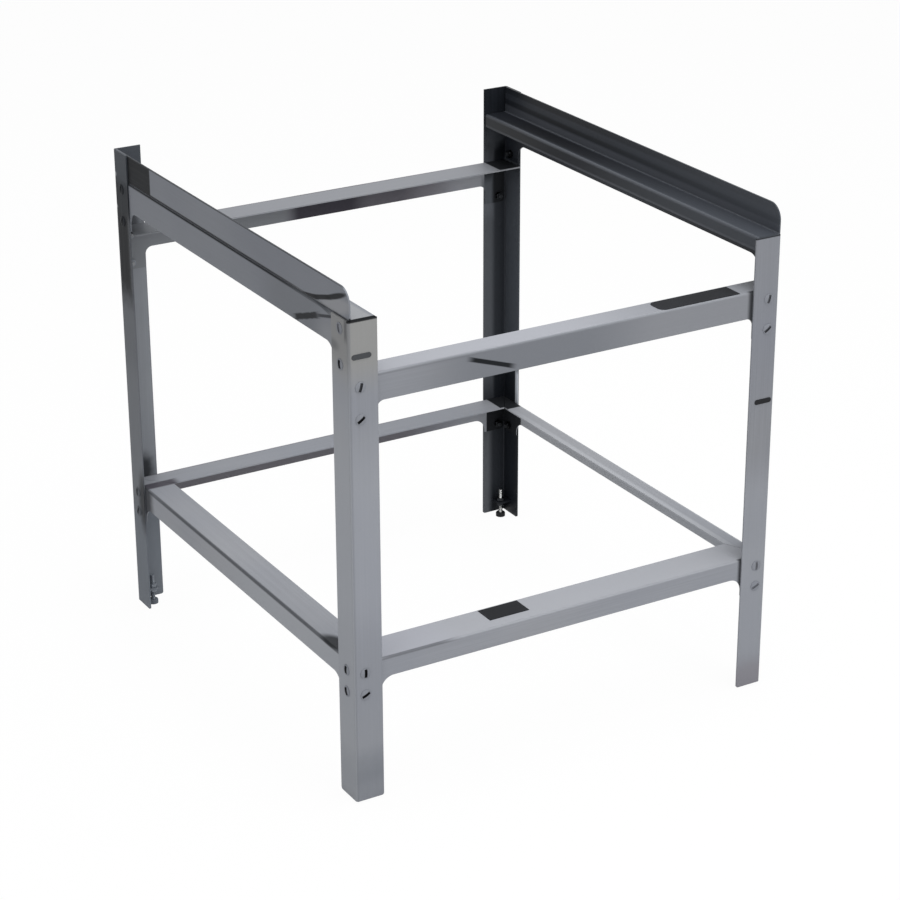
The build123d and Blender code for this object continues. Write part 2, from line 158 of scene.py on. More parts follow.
def new_finish(name):
    """An empty material: its tree, its shader and the piece's own coordinates."""
    material = bpy.data.materials.new(name)
    material.use_nodes = True
    tree = material.node_tree
    tree.nodes.clear()
    shader = add(tree, "BsdfPrincipled")
    add(tree, "OutputMaterial", links={"Surface": shader.outputs[0]})
    place = add(tree, "TexCoord").outputs["Object"]
    return material, tree, shader, place


def mark(paint, strength, centre, half, soft=0.25, turn=(0, 0, 0), shape="box", ragged=0.0):
    """A mark on a sheet: colour, cover, middle, half sizes, the share of them that fades.

    A mark is dirt or wear, or painted light or shade. It may be turned, in degrees, be oval, and
    have an uneven rim. Later marks cover earlier ones.
    """
    return dict(paint=paint, strength=strength, centre=centre, half=half, soft=soft, turn=turn,
                shape=shape, ragged=ragged)


def band(paint, strength, corner, height, half, soft, ragged=0.0):
    """A mark all round one leg, half above and half below a height."""
    side, end = CORNERS[corner]
    return mark(paint, strength, (side * HALF_X, end * HALF_Y, height),
                (ALL_ROUND, ALL_ROUND, half), soft, ragged=ragged)


def paint_mark(tree, place, colour, patch):
    """Lay one mark over a colour."""
    inside = add(tree, "Mapping", vector_type="TEXTURE", links={"Vector": place}, values={
        "Location": [v * MM for v in patch["centre"]],
        "Rotation": [math.radians(v) for v in patch["turn"]],
        "Scale": [v * MM for v in patch["half"]]}).outputs[0]
    if patch["shape"] == "oval":
        far = add(tree, "VectorMath", operation="LENGTH", links={0: inside}).outputs["Value"]
    else:
        size = add(tree, "VectorMath", operation="ABSOLUTE", links={0: inside})
        axes = add(tree, "SeparateXYZ", links={0: size.outputs[0]}).outputs
        far = add(tree, "Math", operation="MAXIMUM", links={0: axes[0], 1: axes[1]}).outputs[0]
        far = add(tree, "Math", operation="MAXIMUM", links={0: far, 1: axes[2]}).outputs[0]
    if patch["ragged"]:
        rim = add(tree, "TexNoise", links={"Vector": place},
                  values={"Scale": 1 / (MARK_RIM * MM), "Detail": 2.0})
        rough = add(tree, "MapRange", links={"Value": rim.outputs[0]}, values={
            "To Min": -patch["ragged"], "To Max": patch["ragged"]})
        far = add(tree, "Math", operation="ADD", links={0: far, 1: rough.outputs[0]}).outputs[0]
    cover = add(tree, "MapRange", interpolation_type="SMOOTHSTEP", links={"Value": far}, values={
        "From Min": 1 - patch["soft"], "From Max": 1 + patch["soft"],
        "To Min": patch["strength"], "To Max": 0.0})
    return add(tree, "Mix", data_type="RGBA", links={0: cover.outputs[0], COLOUR_A: colour},
               values={COLOUR_B: linear(patch["paint"])}).outputs[COLOUR_OUT]


def brushed_sheet(name, grain, colours, marks=(), rough=0.5, shine=0.06, metal=0.1, streak=0.06):
    """Brushed folded steel under satin lacquer: fine lines along the fold, slow clouds, soft gloss.

    The lines are really 0.2 mm apart and are drawn 1.8 mm apart to show at this distance.
    """
    material, tree, shader, place = new_finish(name)
    line, run = 1 / (BRUSH_LINE * MM), 1 / (BRUSH_RUN * MM)
    stretch = [run if axis == grain else line for axis in "XYZ"]
    along = add(tree, "Mapping", links={"Vector": place}, values={"Scale": stretch})
    brush = add(tree, "TexNoise", links={"Vector": along.outputs[0]},
                values={"Scale": 1.0, "Detail": 3.0, "Roughness": 0.6})
    cloud = add(tree, "TexNoise", links={"Vector": place},
                values={"Scale": 1 / (CLOUD * MM), "Detail": 2.0, "Roughness": 0.5})
    clouds = add(tree, "MapRange", links={"Value": cloud.outputs[0]},
                 values={"From Min": 0.35, "From Max": 0.65})
    tone = add(tree, "Mix", data_type="RGBA", links={0: clouds.outputs[0]},
               values={COLOUR_A: linear(colours[0]), COLOUR_B: linear(colours[1])})
    lines = add(tree, "MapRange", links={"Value": brush.outputs[0]}, values={
        "From Min": 0.25, "From Max": 0.75, "To Min": 1 - streak, "To Max": 1 + streak})
    colour = add(tree, "VectorMath", operation="SCALE",
                 links={0: tone.outputs[COLOUR_OUT], "Scale": lines.outputs[0]}).outputs[0]
    for patch in marks:
        colour = paint_mark(tree, place, colour, patch)
    tree.links.new(colour, shader.inputs["Base Color"])
    gloss = add(tree, "MapRange", links={"Value": brush.outputs[0]}, values={
        "From Min": 0.25, "From Max": 0.75, "To Min": rough - 0.05, "To Max": rough + 0.07})
    tree.links.new(gloss.outputs[0], shader.inputs["Roughness"])
    grooves = add(tree, "Bump", links={"Height": brush.outputs[0]},
                  values={"Strength": 0.08, "Distance": BRUSH_DEPTH * MM})
    tree.links.new(grooves.outputs[0], shader.inputs["Normal"])
    shader.inputs["Metallic"].default_value = metal
    shader.inputs["Specular IOR Level"].default_value = shine
    return material


def zinc_plate(name, colours, metal=1.0):
    """Zinc plate on turned steel: cool, clear shine, faint clouding; less metal under dust."""
    material, tree, shader, place = new_finish(name)
    haze = add(tree, "TexNoise", links={"Vector": place},
               values={"Scale": 1 / (ZINC_HAZE * MM), "Detail": 3.0})
    tone = add(tree, "Mix", data_type="RGBA", links={0: haze.outputs[0]},
               values={COLOUR_A: linear(colours[0]), COLOUR_B: linear(colours[1])})
    tree.links.new(tone.outputs[COLOUR_OUT], shader.inputs["Base Color"])
    gloss = add(tree, "MapRange", links={"Value": haze.outputs[0]},
                values={"To Min": 0.22, "To Max": 0.4})
    tree.links.new(gloss.outputs[0], shader.inputs["Roughness"])
    shader.inputs["Metallic"].default_value = metal
    return material


def moulded_black(name, colours, rough, grit):
    """Moulded black nylon or rubber: matt, with a fine grain and a dusty bloom."""
    material, tree, shader, place = new_finish(name)
    grain = add(tree, "TexNoise", links={"Vector": place},
                values={"Scale": 1 / (grit * MM), "Detail": 2.0})
    dust = add(tree, "TexNoise", links={"Vector": place},
               values={"Scale": 1 / (DUST_PATCH * MM), "Detail": 3.0})
    tone = add(tree, "Mix", data_type="RGBA", links={0: dust.outputs[0]},
               values={COLOUR_A: linear(colours[0]), COLOUR_B: linear(colours[1])})
    tree.links.new(tone.outputs[COLOUR_OUT], shader.inputs["Base Color"])
    dents = add(tree, "Bump", links={"Height": grain.outputs[0]},
                values={"Strength": 0.3, "Distance": GRIT_DEPTH * MM})
    tree.links.new(dents.outputs[0], shader.inputs["Normal"])
    shader.inputs["Roughness"].default_value = rough
    shader.inputs["Specular IOR Level"].default_value = 0.2
    return material


def dress(material, *nodes):
    """Give CAD nodes a finish."""
    for name in nodes:
        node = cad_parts[name]
        node.data.materials.clear()
        node.data.materials.append(material)


# Legs
front_left_marks = (
    band("8E8D88", 0.65, "front_left", 612, 55, 0.5),                           # warmer top
    band("989BA2", 0.5, "front_left", 350, 120, 0.5),
    band("878A90", 0.5, "front_left", 110, 110, 0.4),
    band("5E636B", 0.24, "front_left", 0, 52, 0.35, ragged=0.15),               # darker toe
    band("5E636B", 0.24, "front_left", 48, 22, 0.6, ragged=0.15),
    mark("74777C", 0.4, (-HALF_X, -HALF_Y, 310), (3.2, 3.2, 400), 0.5),         # painted shade on the fold
    mark("9C9FA4", 0.45, (LEG_LEFT, -306, 260), (SKIN, 22, 290), 0.15),         # paler side, painted light
    mark("63656A", 0.3, (-HALF_X, -306, 612), (THROUGH, 25, 40), 0.4),          # darker top
    mark("4A4C50", 0.5, (LEG_LEFT, -290, 591), (SKIN, 11, 6), 0.7, shape="oval"),
    mark("3E4044", 0.6, (-HALF_X, -319, 617), (3, 3, 13), 0.6),
    mark(NEAR_BLACK, 0.95, (-286, -HALF_Y, 628.5), (40, 4, 2.4), 0.3),                # painted shade under the ledge
)
dress(brushed_sheet("satin_grey_front_left_leg", "Z", LEG_GREY, front_left_marks),
      "front_left_leg", "front_left_foot_plate")
front_right_marks = (
    band("95989E", 0.5, "front_right", 110, 80, 0.5),
    band("95989E", 0.45, "front_right", 240, 70, 0.5),
    band("7C787E", 0.5, "front_right", 0, 37, 0.4, ragged=0.15),                # darker toe
    mark(NEAR_BLACK, 0.92, (286, -HALF_Y, 628.5), (40, 4, 2.0), 0.3),                 # painted shade under the ledge
)
dress(brushed_sheet("satin_grey_front_right_leg", "Z", RIGHT_LEG_GREY, front_right_marks),
      "front_right_leg", "front_right_foot_plate")
rear_left_marks = (
    mark("585B60", 0.85, (-HALF_X, 305, 330), (THROUGH, 30, 320), 0.08),        # shaded side
    mark("6A6D72", 0.85, (LEG_LEFT, 305, 265), (SKIN, 30, 100), 0.3),
    band("3A3E44", 0.9, "rear_left", 690, 92, 0.15, ragged=0.1),                # painted shade at the top
    band("6A7078", 0.7, "rear_left", 40, 110, 0.25),
    # Painted shade beside the joints, on the side flange and inside the rear flange
    mark(NEAR_BLACK, 0.97, (LEG_LEFT, 305, 530), (SKIN, 18, 66), 0.4, ragged=0.12),   # at the joints
    mark("26292D", 0.9, (LEG_LEFT, 303, 603), (SKIN, 30, 22), 0.4, ragged=0.12),
    mark("3C3F43", 0.7, (-290, LEG_INNER_REAR, 560), (14, SKIN, 26), 0.4,
         shape="oval", ragged=0.3),
    mark(NEAR_BLACK, 0.85, (-286, LEG_INNER_REAR, 200), (13, SKIN, 23), 0.5, shape="oval", ragged=0.2),
    mark(NEAR_BLACK, 0.8, (LEG_LEFT, 288, 166), (SKIN, 13, 42), 0.5, shape="oval", ragged=0.15),
    # Pale specks and a streak on the fold: chips, with painted glints on the edge
    mark("A9ACB0", 0.8, (LEG_LEFT, 324, 633), (SKIN, 5, 3.5), 0.5, shape="oval", ragged=0.4),
    mark("B4B7BB", 0.8, (LEG_LEFT, 324, 588), (SKIN, 4.5, 3), 0.5, shape="oval", ragged=0.4),
    mark("9DA0A4", 0.75, (LEG_LEFT, 324.5, 490), (SKIN, 2, 26), 0.5, shape="oval", ragged=0.3),
)
dress(brushed_sheet("satin_grey_rear_left_leg", "Z", REAR_LEG_GREY, rear_left_marks),
      "rear_left_leg", "rear_left_foot_plate")

# Cross rails
front_upper_marks = (
    mark("9EA0A7", 0.75, (-150, -300, UPPER_TOP), (220, 40, SKIN), 0.5),        # painted light on the top
    mark("7F8186", 0.65, (170, RAIL_FRONT, 540), (160, SKIN, 40), 0.4),
    mark("72757B", 0.95, (-55, RAIL_FRONT, 540), (130, SKIN, 40), 0.5),         # shaded middle
    # Painted shade along the fold, darker at the left end
    mark("84878C", 0.5, (0, FRONT_FOLD, UPPER_TOP), (ALL_WIDTH, 2.6, 2.6), 0.6),
    mark(FOLD_SHADE, 0.25, (-210, FRONT_FOLD, 558.5), (70, 3, 3), 0.6),
    # Slanting streak
    mark(NEAR_BLACK, 0.97, (-113, RAIL_FRONT, 540.5), (31, SKIN, 2.8), 0.25, turn=(0, 18.5, 0)),
    mark(DEEP_SHADE, 0.9, (270, FRONT_FOLD, 535), (9, 4, 34), 0.4),
)
dress(brushed_sheet("satin_grey_front_upper_rail", "X", FRONT_RAIL_GREY, front_upper_marks),
      "front_upper_rail")
front_lower_marks = (
    mark("A4A6AC", 0.8, (20, -300, LOWER_TOP), (270, 40, SKIN), 0.3),           # painted light on the top, more at the left
    mark("A3A5AE", 0.6, (-225, -300, LOWER_TOP), (60, 40, SKIN), 0.5),
    # Painted shade along the fold, darker at the left end
    mark("85888D", 0.5, (0, FRONT_FOLD, LOWER_TOP), (ALL_WIDTH, 3, 3), 0.6),
    mark("4A4C51", 0.7, (-220, FRONT_FOLD, LOWER_TOP), (50, 3, 2.6), 0.4),
    mark(DEEP_SHADE, 0.9, (270, FRONT_FOLD, 172), (7, 4, 34), 0.4),
)
dress(brushed_sheet("satin_grey_front_lower_rail", "X", RAIL_GREY, front_lower_marks),
      "front_lower_rail")
rear_upper_marks = (
    mark("7C7E83", 0.75, (0, 300, UPPER_TOP), (ALL_WIDTH, 24, SKIN), 0.2),      # darker top
    # Painted shade on the inner face under the flange, darkest in the middle; paler left end
    mark("66646A", 0.85, (22, RAIL_INNER_REAR, 540), (182, REAR_SKIN, 24), 0.2),
    mark("4A484E", 0.7, (100, RAIL_INNER_REAR, 540), (48, REAR_SKIN, 24), 0.5),
    mark("35333A", 0.95, (6, RAIL_INNER_REAR, 540), (56, REAR_SKIN, 24), 0.3),
    mark("74777B", 0.9, (-209, RAIL_INNER_REAR, 520), (160, REAR_SKIN, 38), 0.1),
    mark("5F6266", 0.9, (-290, 300, UPPER_TOP), (66, 40, SKIN), 0.3),
    # Black end in the black leg
    mark(NEAR_BLACK, 0.98, (292, 312, 540), (26, 34.3, 70), 0.03),
    mark("5A5E64", 0.8, (271, RAIL_INNER_REAR, 505), (9, REAR_SKIN, 30), 0.4),
)
dress(brushed_sheet("satin_grey_rear_upper_rail", "X", RAIL_GREY, rear_upper_marks),
      "rear_upper_rail")
rear_lower_marks = (
    # Painted shade on the inner face under the top flange, and over the mitre
    mark("626065", 0.9, (-60, RAIL_INNER_REAR, 170), (240, REAR_SKIN, 20), 0.3),
    mark(MITRE_SHADE, 0.92, (-283, 286, LOWER_TOP), (28, 8.5, SKIN), 0.25),
    mark(NEAR_BLACK, 0.98, (292, 312, 165), (21, 30.3, 40), 0.03),                    # black end
)
dress(brushed_sheet("satin_grey_rear_lower_rail", "X", RAIL_GREY, rear_lower_marks),
      "rear_lower_rail")

# Side rails
left_lower_marks = (
    mark("A1A4A9", 0.45, (RAIL_LEFT, -190, 172), (SKIN, 200, 40), 0.5),         # paler front
    # Painted shade over the mitre, at the rear end, along the fold and at the front end
    mark(MITRE_SHADE, 0.92, (-283, 286, LOWER_TOP), (28, 8.5, SKIN), 0.25),
    mark("24262B", 0.9, (RAIL_LEFT, 284, 172), (SKIN, 21, 40), 0.5, ragged=0.15),
    mark("3E4044", 0.85, (LEFT_FOLD, 0, LOWER_TOP), (3.2, ALL_DEPTH, 3.0), 0.5),
    mark(NEAR_BLACK, 0.9, (-293, -262, LOWER_TOP), (13, 30, 4), 0.35, turn=(0, 0, 14), shape="oval"),
)
dress(brushed_sheet("satin_grey_left_lower_rail", "Y", RAIL_GREY, left_lower_marks),
      "left_lower_rail")
right_lower_marks = (
    mark("ABAEB3", 0.5, (RAIL_INNER_RIGHT, 0, 170), (SKIN, 320, 40), 0.2),
    # Painted highlight along the top flange
    mark("B4B7BC", 0.5, (281, -40, LOWER_TOP), (4, 250, 3), 0.6),
    mark(NEAR_BLACK, 0.98, (290, 312, 165), (12, 40, 40), 0.03),                      # black end
)
dress(brushed_sheet("satin_grey_right_lower_rail", "Y", PALE_RAIL_GREY, right_lower_marks),
      "right_lower_rail")
upstand_marks = (
    mark("8E8F92", 0.7, (RAIL_LEFT, -292, 637), (SKIN, 40, 10), 0.4, turn=(-14, 0, 0),
         shape="oval"),
    mark("101215", 0.97, (RAIL_LEFT, 252, 648), (SKIN, 37, 40), 0.04),          # black rear end
    mark("303236", 0.85, (-302, 0, 666.3), (3, ALL_DEPTH, 1.3), 0.3),           # darker top edge
    # Painted shade in the groove over the apron, fainter at the front
    mark(NEAR_BLACK, 0.95, (RAIL_LEFT, 60, 628.5), (SKIN, 275, 3.0), 0.35),           # over the apron
    mark("54575B", 0.8, (RAIL_LEFT, -262, 628.5), (SKIN, 64, 2.0), 0.4),
    # One curved streak, rising to the front
    mark(NEAR_BLACK, 0.97, (RAIL_LEFT, -229, 631), (SKIN, 20, 2.6), 0.3, turn=(-10.3, 0, 0)),
    mark(NEAR_BLACK, 0.97, (RAIL_LEFT, -261, 638.5), (SKIN, 21, 2.9), 0.3, turn=(-16.5, 0, 0)),
    mark(NEAR_BLACK, 0.97, (RAIL_LEFT, -294, 649.5), (SKIN, 27, 3.5), 0.3, turn=(-20.5, 0, 0),
         shape="oval"),
    # Ledge, with painted shade along its front edge
    mark("8B8D90", 0.9, (-287, -300, 630), (13, 90, SKIN), 0.3),
    mark(NEAR_BLACK, 0.97, (-280, -326, 629), (30, 2.2, 3), 0.3),
)
dress(brushed_sheet("satin_grey_left_support_rail", "Y", APRON_GREY, upstand_marks),
      "left_support_rail", "left_rail_rivets")
apron_marks = (
    mark("6B6E73", 0.7, (RAIL_LEFT, -190, 600), (SKIN, 70, 40), 0.5),
    mark("84868A", 0.7, (RAIL_LEFT, -283, 590), (SKIN, 34, 26), 0.6, shape="oval"),
    # Painted shade under the ledge, fainter at the front
    mark(NEAR_BLACK, 0.95, (RAIL_LEFT, 60, 628), (SKIN, 275, 2.6), 0.35),             # under the ledge
    mark("54575B", 0.8, (RAIL_LEFT, -262, 627), (SKIN, 64, 1.8), 0.4),
    # Streaks
    mark(DEEP_SHADE, 0.95, (RAIL_LEFT, -218, 602), (SKIN, 31, 3.8), 0.3, turn=(-19.3, 0, 0),
         ragged=0.25),
    mark("2E3034", 0.9, (RAIL_LEFT, -276, 619.5), (SKIN, 32, 1.9), 0.4, turn=(-14.5, 0, 0)),
    mark("4A4D51", 0.85, (RAIL_LEFT, -258, 626.5), (SKIN, 21, 1.8), 0.4, turn=(8, 0, 0)),
)
dress(brushed_sheet("satin_grey_left_apron", "Y", APRON_GREY, apron_marks), "left_apron")

# Black side
black_rail_marks = (
    # Painted reflections: dark and pale streaks along the upstand
    mark("0E1013", 0.7, (RAIL_INNER_RIGHT, 0, 662), (SKIN, ALL_DEPTH, 4.5), 0.5),
    mark("34373D", 0.5, (RAIL_INNER_RIGHT, 0, 653), (SKIN, ALL_DEPTH, 4), 0.5),
    mark("0E1013", 0.7, (RAIL_INNER_RIGHT, 0, 644.5), (SKIN, ALL_DEPTH, 3.5), 0.5),
    # Ledge and lip, darkened as painted shade
    mark("0C0D10", 0.9, (286, 0, 630), (13, ALL_DEPTH, SKIN), 0.4),
    mark("131519", 0.85, (269, 0, 620), (3, ALL_DEPTH, 8), 0.3),
    mark("4B4F56", 0.55, (290, -345, 640), (60, 300, 60), 0.8),                 # greyer front
    # Painted highlights along the folds
    mark("5E6167", 0.45, (268.5, 0, 629), (2.4, ALL_DEPTH, 2.2), 0.6),
    mark("50535A", 0.75, (RAIL_INNER_RIGHT, 0, 635), (SKIN, ALL_DEPTH, 5.5), 0.5),
    mark("44474D", 0.5, (300.5, 0, 631), (2.4, ALL_DEPTH, 2.4), 0.6),
    mark("5A5D63", 0.45, (268, 0, 613), (2.5, ALL_DEPTH, 1.8), 0.6),
)
dress(brushed_sheet("satin_black_support_rail", "Y", BLACK_RAIL, black_rail_marks, **BLACK_SATIN),
      "right_support_rail", "right_rail_rivets")
dress(brushed_sheet("satin_black_apron", "Y", BLACK_RAIL, **BLACK_SATIN), "right_apron")
black_leg_marks = (
    # Painted light, reflections and a glint on the inner faces, paler along the rear flange's edge
    mark("464A50", 0.9, (LEG_INNER_RIGHT, 305, 410), (SKIN, 30, 150), 0.25),
    mark("2E3136", 0.85, (290, LEG_INNER_REAR, 400), (20, SKIN, 140), 0.3),
    mark("2A2D32", 0.85, (290, LEG_INNER_REAR, 80), (20, SKIN, 80), 0.3),
    mark("6A6D72", 0.6, (267, LEG_INNER_REAR, 60), (12, SKIN, 95), 0.5),
    mark("505358", 0.85, (269, LEG_INNER_REAR, 390), (14, SKIN, 190), 0.35),
    mark("64686F", 0.6, (271, LEG_INNER_REAR, 525), (11, SKIN, 45), 0.4),
    mark("C4CAD2", 0.9, (LEG_INNER_RIGHT, 286, 214), (SKIN, 5.5, 26), 0.3),
    mark("4C5056", 0.6, (286, LEG_INNER_REAR, 600), (15, SKIN, 22), 0.4,
         shape="oval", ragged=0.4),
)
dress(brushed_sheet("satin_black_rear_right_leg", "Z", BLACK_LEG, black_leg_marks, **BLACK_SATIN),
      "rear_right_leg", "rear_right_foot_plate")

# Pads, plugs and blank plates
nylon = moulded_black("moulded_black_nylon", ("131416", "1B1C1F"), 0.6, NYLON_GRIT)
dusty_nylon = moulded_black("dusty_black_nylon", ("3A3C3F", "46484B"), 0.7, NYLON_GRIT)
dusted_nylon = moulded_black("dusted_grey_nylon", ("6A7078", "5F656C"), 0.8, NYLON_GRIT)
rubber = moulded_black("matt_black_rubber", ("141518", "1E2024"), 0.8, RUBBER_GRIT)
for corner in CORNERS:
    dress(dusted_nylon if corner == "rear_left" else nylon, corner + "_foot_pad")
dress(dusty_nylon, "front_left_slot_plug")
dress(nylon, "front_right_slot_plug")
# The upper plate is a black sheet laid where the top flange shows dark shade
dress(rubber, "front_lower_rail_plate", "front_upper_rail_plate")

# Nuts and stems
bright_zinc = zinc_plate("bright_zinc_plate", ("C3C6CA", "B4B3AC"))
dull_zinc = zinc_plate("dulled_zinc_plate", ("696C70", "5E605F"))
smoked_zinc = zinc_plate("smoked_zinc_plate", ("34363A", "2A2B2D"))
dusted_zinc = zinc_plate("dusted_zinc_plate", ("7A8088", "6E747C"), metal=0.2)
NUT_FINISHES = {
    "front_left": dull_zinc,
    "front_right": dull_zinc,
    "rear_left": dusted_zinc,
    "rear_right": smoked_zinc,
}
STEM_FINISHES = {**NUT_FINISHES, "rear_right": bright_zinc}

# Screw heads are painted with their leg and darkened where it is darker; the rear left heads are
# darker as painted shade, like that leg's side
SCREW_TONES = {
    "front_left": ("84868B", "7F8289"),
    "front_right": RIGHT_LEG_GREY,
    "rear_left": ("5C5F64", "54575C"),
    "rear_right": BLACK_LEG,
}
SCREW_DARKENING = {
    "front_left": [mark("63656A", 0.3, (-307, -306, 612), (6, 25, 40), 0.4)],
    "front_right": [],
    "rear_left": [mark("212327", 0.95, (-307, 305, 590), (6, 25, 60), 0.1)],
    "rear_right": [],
}
SHANK_TONES = {
    "front_left": "8C8E91",
    "front_right": "8C8E91",
    "rear_left": "8C8E91",
    "rear_right": "2C2E31",
}
SHANK_BELOW = 0.3                  # the shank's tone starts this far behind the leg's face
ABOVE_ALL = 700                    # higher than the stand
HARD_RIM = 0.0005                  # fades over about 0.15 mm
# How strong the painted shade in the drive slots is on each leg, at the upper and lower joints
SLOT_SHADE = {
    "front_left": (1.0, 1.0),
    "front_right": (0.8, 0.35),
    "rear_left": (0.9, 0.6),
    "rear_right": (0.6, 0.6),
}
LOWER_JOINTS = 300                 # joints below this height belong to the lower rails
# Painted shade in the drive slots, in the front and in the side flanges
SLOT_SHADE_TONE, SIDE_SLOT_SHADE_TONE = "0C0D0F", "1E2023"
SLOT_COVER, SIDE_SLOT_COVER = 0.7, 1.6     # painted shade past the slot's two sides
SLOT_SHORT, SIDE_SLOT_SHORT = 1.5, 2.0     # ends of the slot without painted shade


def screw_marks(corner):
    """Plating on one leg's screw shanks, and painted shade in and beside their drive slots."""
    side, end = CORNERS[corner]
    upper, lower = SLOT_SHADE[corner]
    inside = (HALF_X - SHANK_BELOW, HALF_Y - SHANK_BELOW, ABOVE_ALL)
    marks = [mark(SHANK_TONES[corner], 0.95, (0, 0, 0), inside, HARD_RIM)]
    out = HEAD_RIM + HEAD_CROWN
    for height, turn, slot_shading in FRONT_SCREWS:
        cover = slot_shading * (lower if height < LOWER_JOINTS else upper)
        centre = (side * (HALF_X - FRONT_GAUGE), end * (HALF_Y + out), height)
        half = (HEAD_RADIUS - SLOT_SHORT, out, DRIVE_WIDTH / 2 + SLOT_COVER)
        marks.append(mark(SLOT_SHADE_TONE, cover, centre, half, 0.08, turn=(0, -turn, 0)))
    for height, turn, slot_shading in SIDE_SCREWS:
        cover = slot_shading * (lower if height < LOWER_JOINTS else upper)
        centre = (side * (HALF_X + out), end * (HALF_Y - SIDE_GAUGE), height)
        half = (out, DRIVE_WIDTH / 2 + SIDE_SLOT_COVER, HEAD_RADIUS - SIDE_SLOT_SHORT)
        marks.append(mark(SIDE_SLOT_SHADE_TONE, cover, centre, half, 0.12,
                          turn=(-side * end * turn, 0, 0)))
    return marks


# Fasteners, modelled in millimetres with their axis on Z
def only(obj):
    """Make one object the only selected one, and the active one."""
    bpy.ops.object.select_all(action="DESELECT")
    obj.select_set(True)
    bpy.context.view_layer.objects.active = obj


def pick(obj, wanted):
    """In edit mode, select the vertices that pass a test on their place, and no others."""
    bpy.ops.object.mode_set(mode="EDIT")
    bpy.ops.mesh.select_mode(type="VERT")
    bpy.ops.mesh.select_all(action="DESELECT")
    bpy.ops.object.mode_set(mode="OBJECT")
    for vertex in obj.data.vertices:
        vertex.select = wanted(vertex.co)
    bpy.ops.object.mode_set(mode="EDIT")


def combine(piece, tool, operation):
    """Cut, join or keep the overlap of two solids; the tool is used up."""
    only(piece)
    change = piece.modifiers.new("combine", "BOOLEAN")
    change.operation = operation
    change.solver = "EXACT"
    change.object = tool
    bpy.ops.object.modifier_apply(modifier="combine")
    bpy.data.objects.remove(tool, do_unlink=True)


def round_bar(radius, base, top, chamfer=0.0):
    """A turned bar, both rims chamfered."""
    bpy.ops.object.select_all(action="DESELECT")
    bpy.ops.mesh.primitive_cylinder_add(vertices=BAR_SIDES, radius=radius, depth=top - base,
                                        location=(0, 0, (base + top) / 2))
    bar = bpy.context.object
    bpy.ops.object.transform_apply(location=True)
    if chamfer:
        for level in (base, top):
            pick(bar, lambda co: abs(co.z - level) < SAME_POINT)
            bpy.ops.mesh.bevel(offset=chamfer, segments=1, affect="EDGES")
            bpy.ops.object.mode_set(mode="OBJECT")
    return bar


def thread(base, top):
    """An M6 thread wound upward from one tooth, cut square and chamfered at both ends."""
    # The tooth's outline: a square pulled to a point at the crest and open at the root
    bpy.ops.object.select_all(action="DESELECT")
    bpy.ops.mesh.primitive_plane_add(size=THREAD_PITCH, rotation=(math.radians(90), 0, 0))
    rod = bpy.context.object
    bpy.ops.object.transform_apply(rotation=True)
    pick(rod, lambda co: co.x > 0)
    bpy.ops.mesh.merge(type="CENTER")
    bpy.ops.transform.translate(value=(STEM_RADIUS - THREAD_PITCH / 2, 0, 0))
    pick(rod, lambda co: co.x < 0)
    bpy.ops.transform.translate(value=(STEM_ROOT + THREAD_PITCH / 2, 0, 0))
    bpy.ops.mesh.select_all(action="SELECT")
    bpy.ops.mesh.delete(type="ONLY_FACE")
    flank = (STEM_ROOT + STEM_RADIUS) / 2
    pick(rod, lambda co: co.x < flank)
    bpy.ops.mesh.select_mode(type="EDGE")
    bpy.ops.mesh.delete(type="EDGE")
    bpy.ops.object.mode_set(mode="OBJECT")
    winding = rod.modifiers.new("thread", "SCREW")
    winding.axis = "Z"
    winding.screw_offset = THREAD_PITCH
    winding.iterations = math.ceil((top - base) / THREAD_PITCH) + SPARE_TURNS
    winding.steps = winding.render_steps = THREAD_STEPS
    winding.use_merge_vertices = True
    winding.merge_threshold = SAME_POINT
    bpy.ops.object.modifier_apply(modifier="thread")
    # Both ends are cut and closed one turn in, where the winding is whole
    bpy.ops.object.mode_set(mode="EDIT")
    bpy.ops.mesh.select_all(action="SELECT")
    bpy.ops.mesh.remove_doubles(threshold=SAME_POINT)
    bpy.ops.mesh.bisect(plane_co=(0, 0, THREAD_PITCH), plane_no=(0, 0, 1), use_fill=True,
                        clear_inner=True)
    bpy.ops.mesh.select_all(action="SELECT")
    bpy.ops.mesh.bisect(plane_co=(0, 0, THREAD_PITCH + top - base), plane_no=(0, 0, 1),
                        use_fill=True, clear_outer=True)
    bpy.ops.mesh.select_all(action="SELECT")
    bpy.ops.mesh.normals_make_consistent(inside=False)
    bpy.ops.transform.translate(value=(0, 0, base - THREAD_PITCH))
    bpy.ops.object.mode_set(mode="OBJECT")
    combine(rod, round_bar(STEM_RADIUS + CREST_CLEARANCE, base, top, THREAD_CHAMFER), "INTERSECT")
    bpy.ops.object.shade_smooth_by_angle(angle=SHARP_THREAD_EDGE)
    return rod


def hex_nut(height):
    """A hexagon nut from Z 0 upward, its corners turned down at both ends."""
    bpy.ops.object.select_all(action="DESELECT")
    bpy.ops.mesh.primitive_cylinder_add(vertices=6, radius=NUT_FLATS / math.sqrt(3), depth=height,
                                        location=(0, 0, height / 2),
                                        rotation=(0, 0, math.radians(90)))
    nut = bpy.context.object
    bpy.ops.object.transform_apply(location=True, rotation=True)
    combine(nut, round_bar(NUT_FLATS * NUT_ROUND, 0, height, NUT_CHAMFER), "INTERSECT")
    bore = round_bar(STEM_RADIUS + NUT_CLEARANCE, -CUT_PAST, height + CUT_PAST)
    combine(nut, bore, "DIFFERENCE")
    bpy.ops.object.shade_smooth_by_angle(angle=SHARP_EDGE)
    return nut


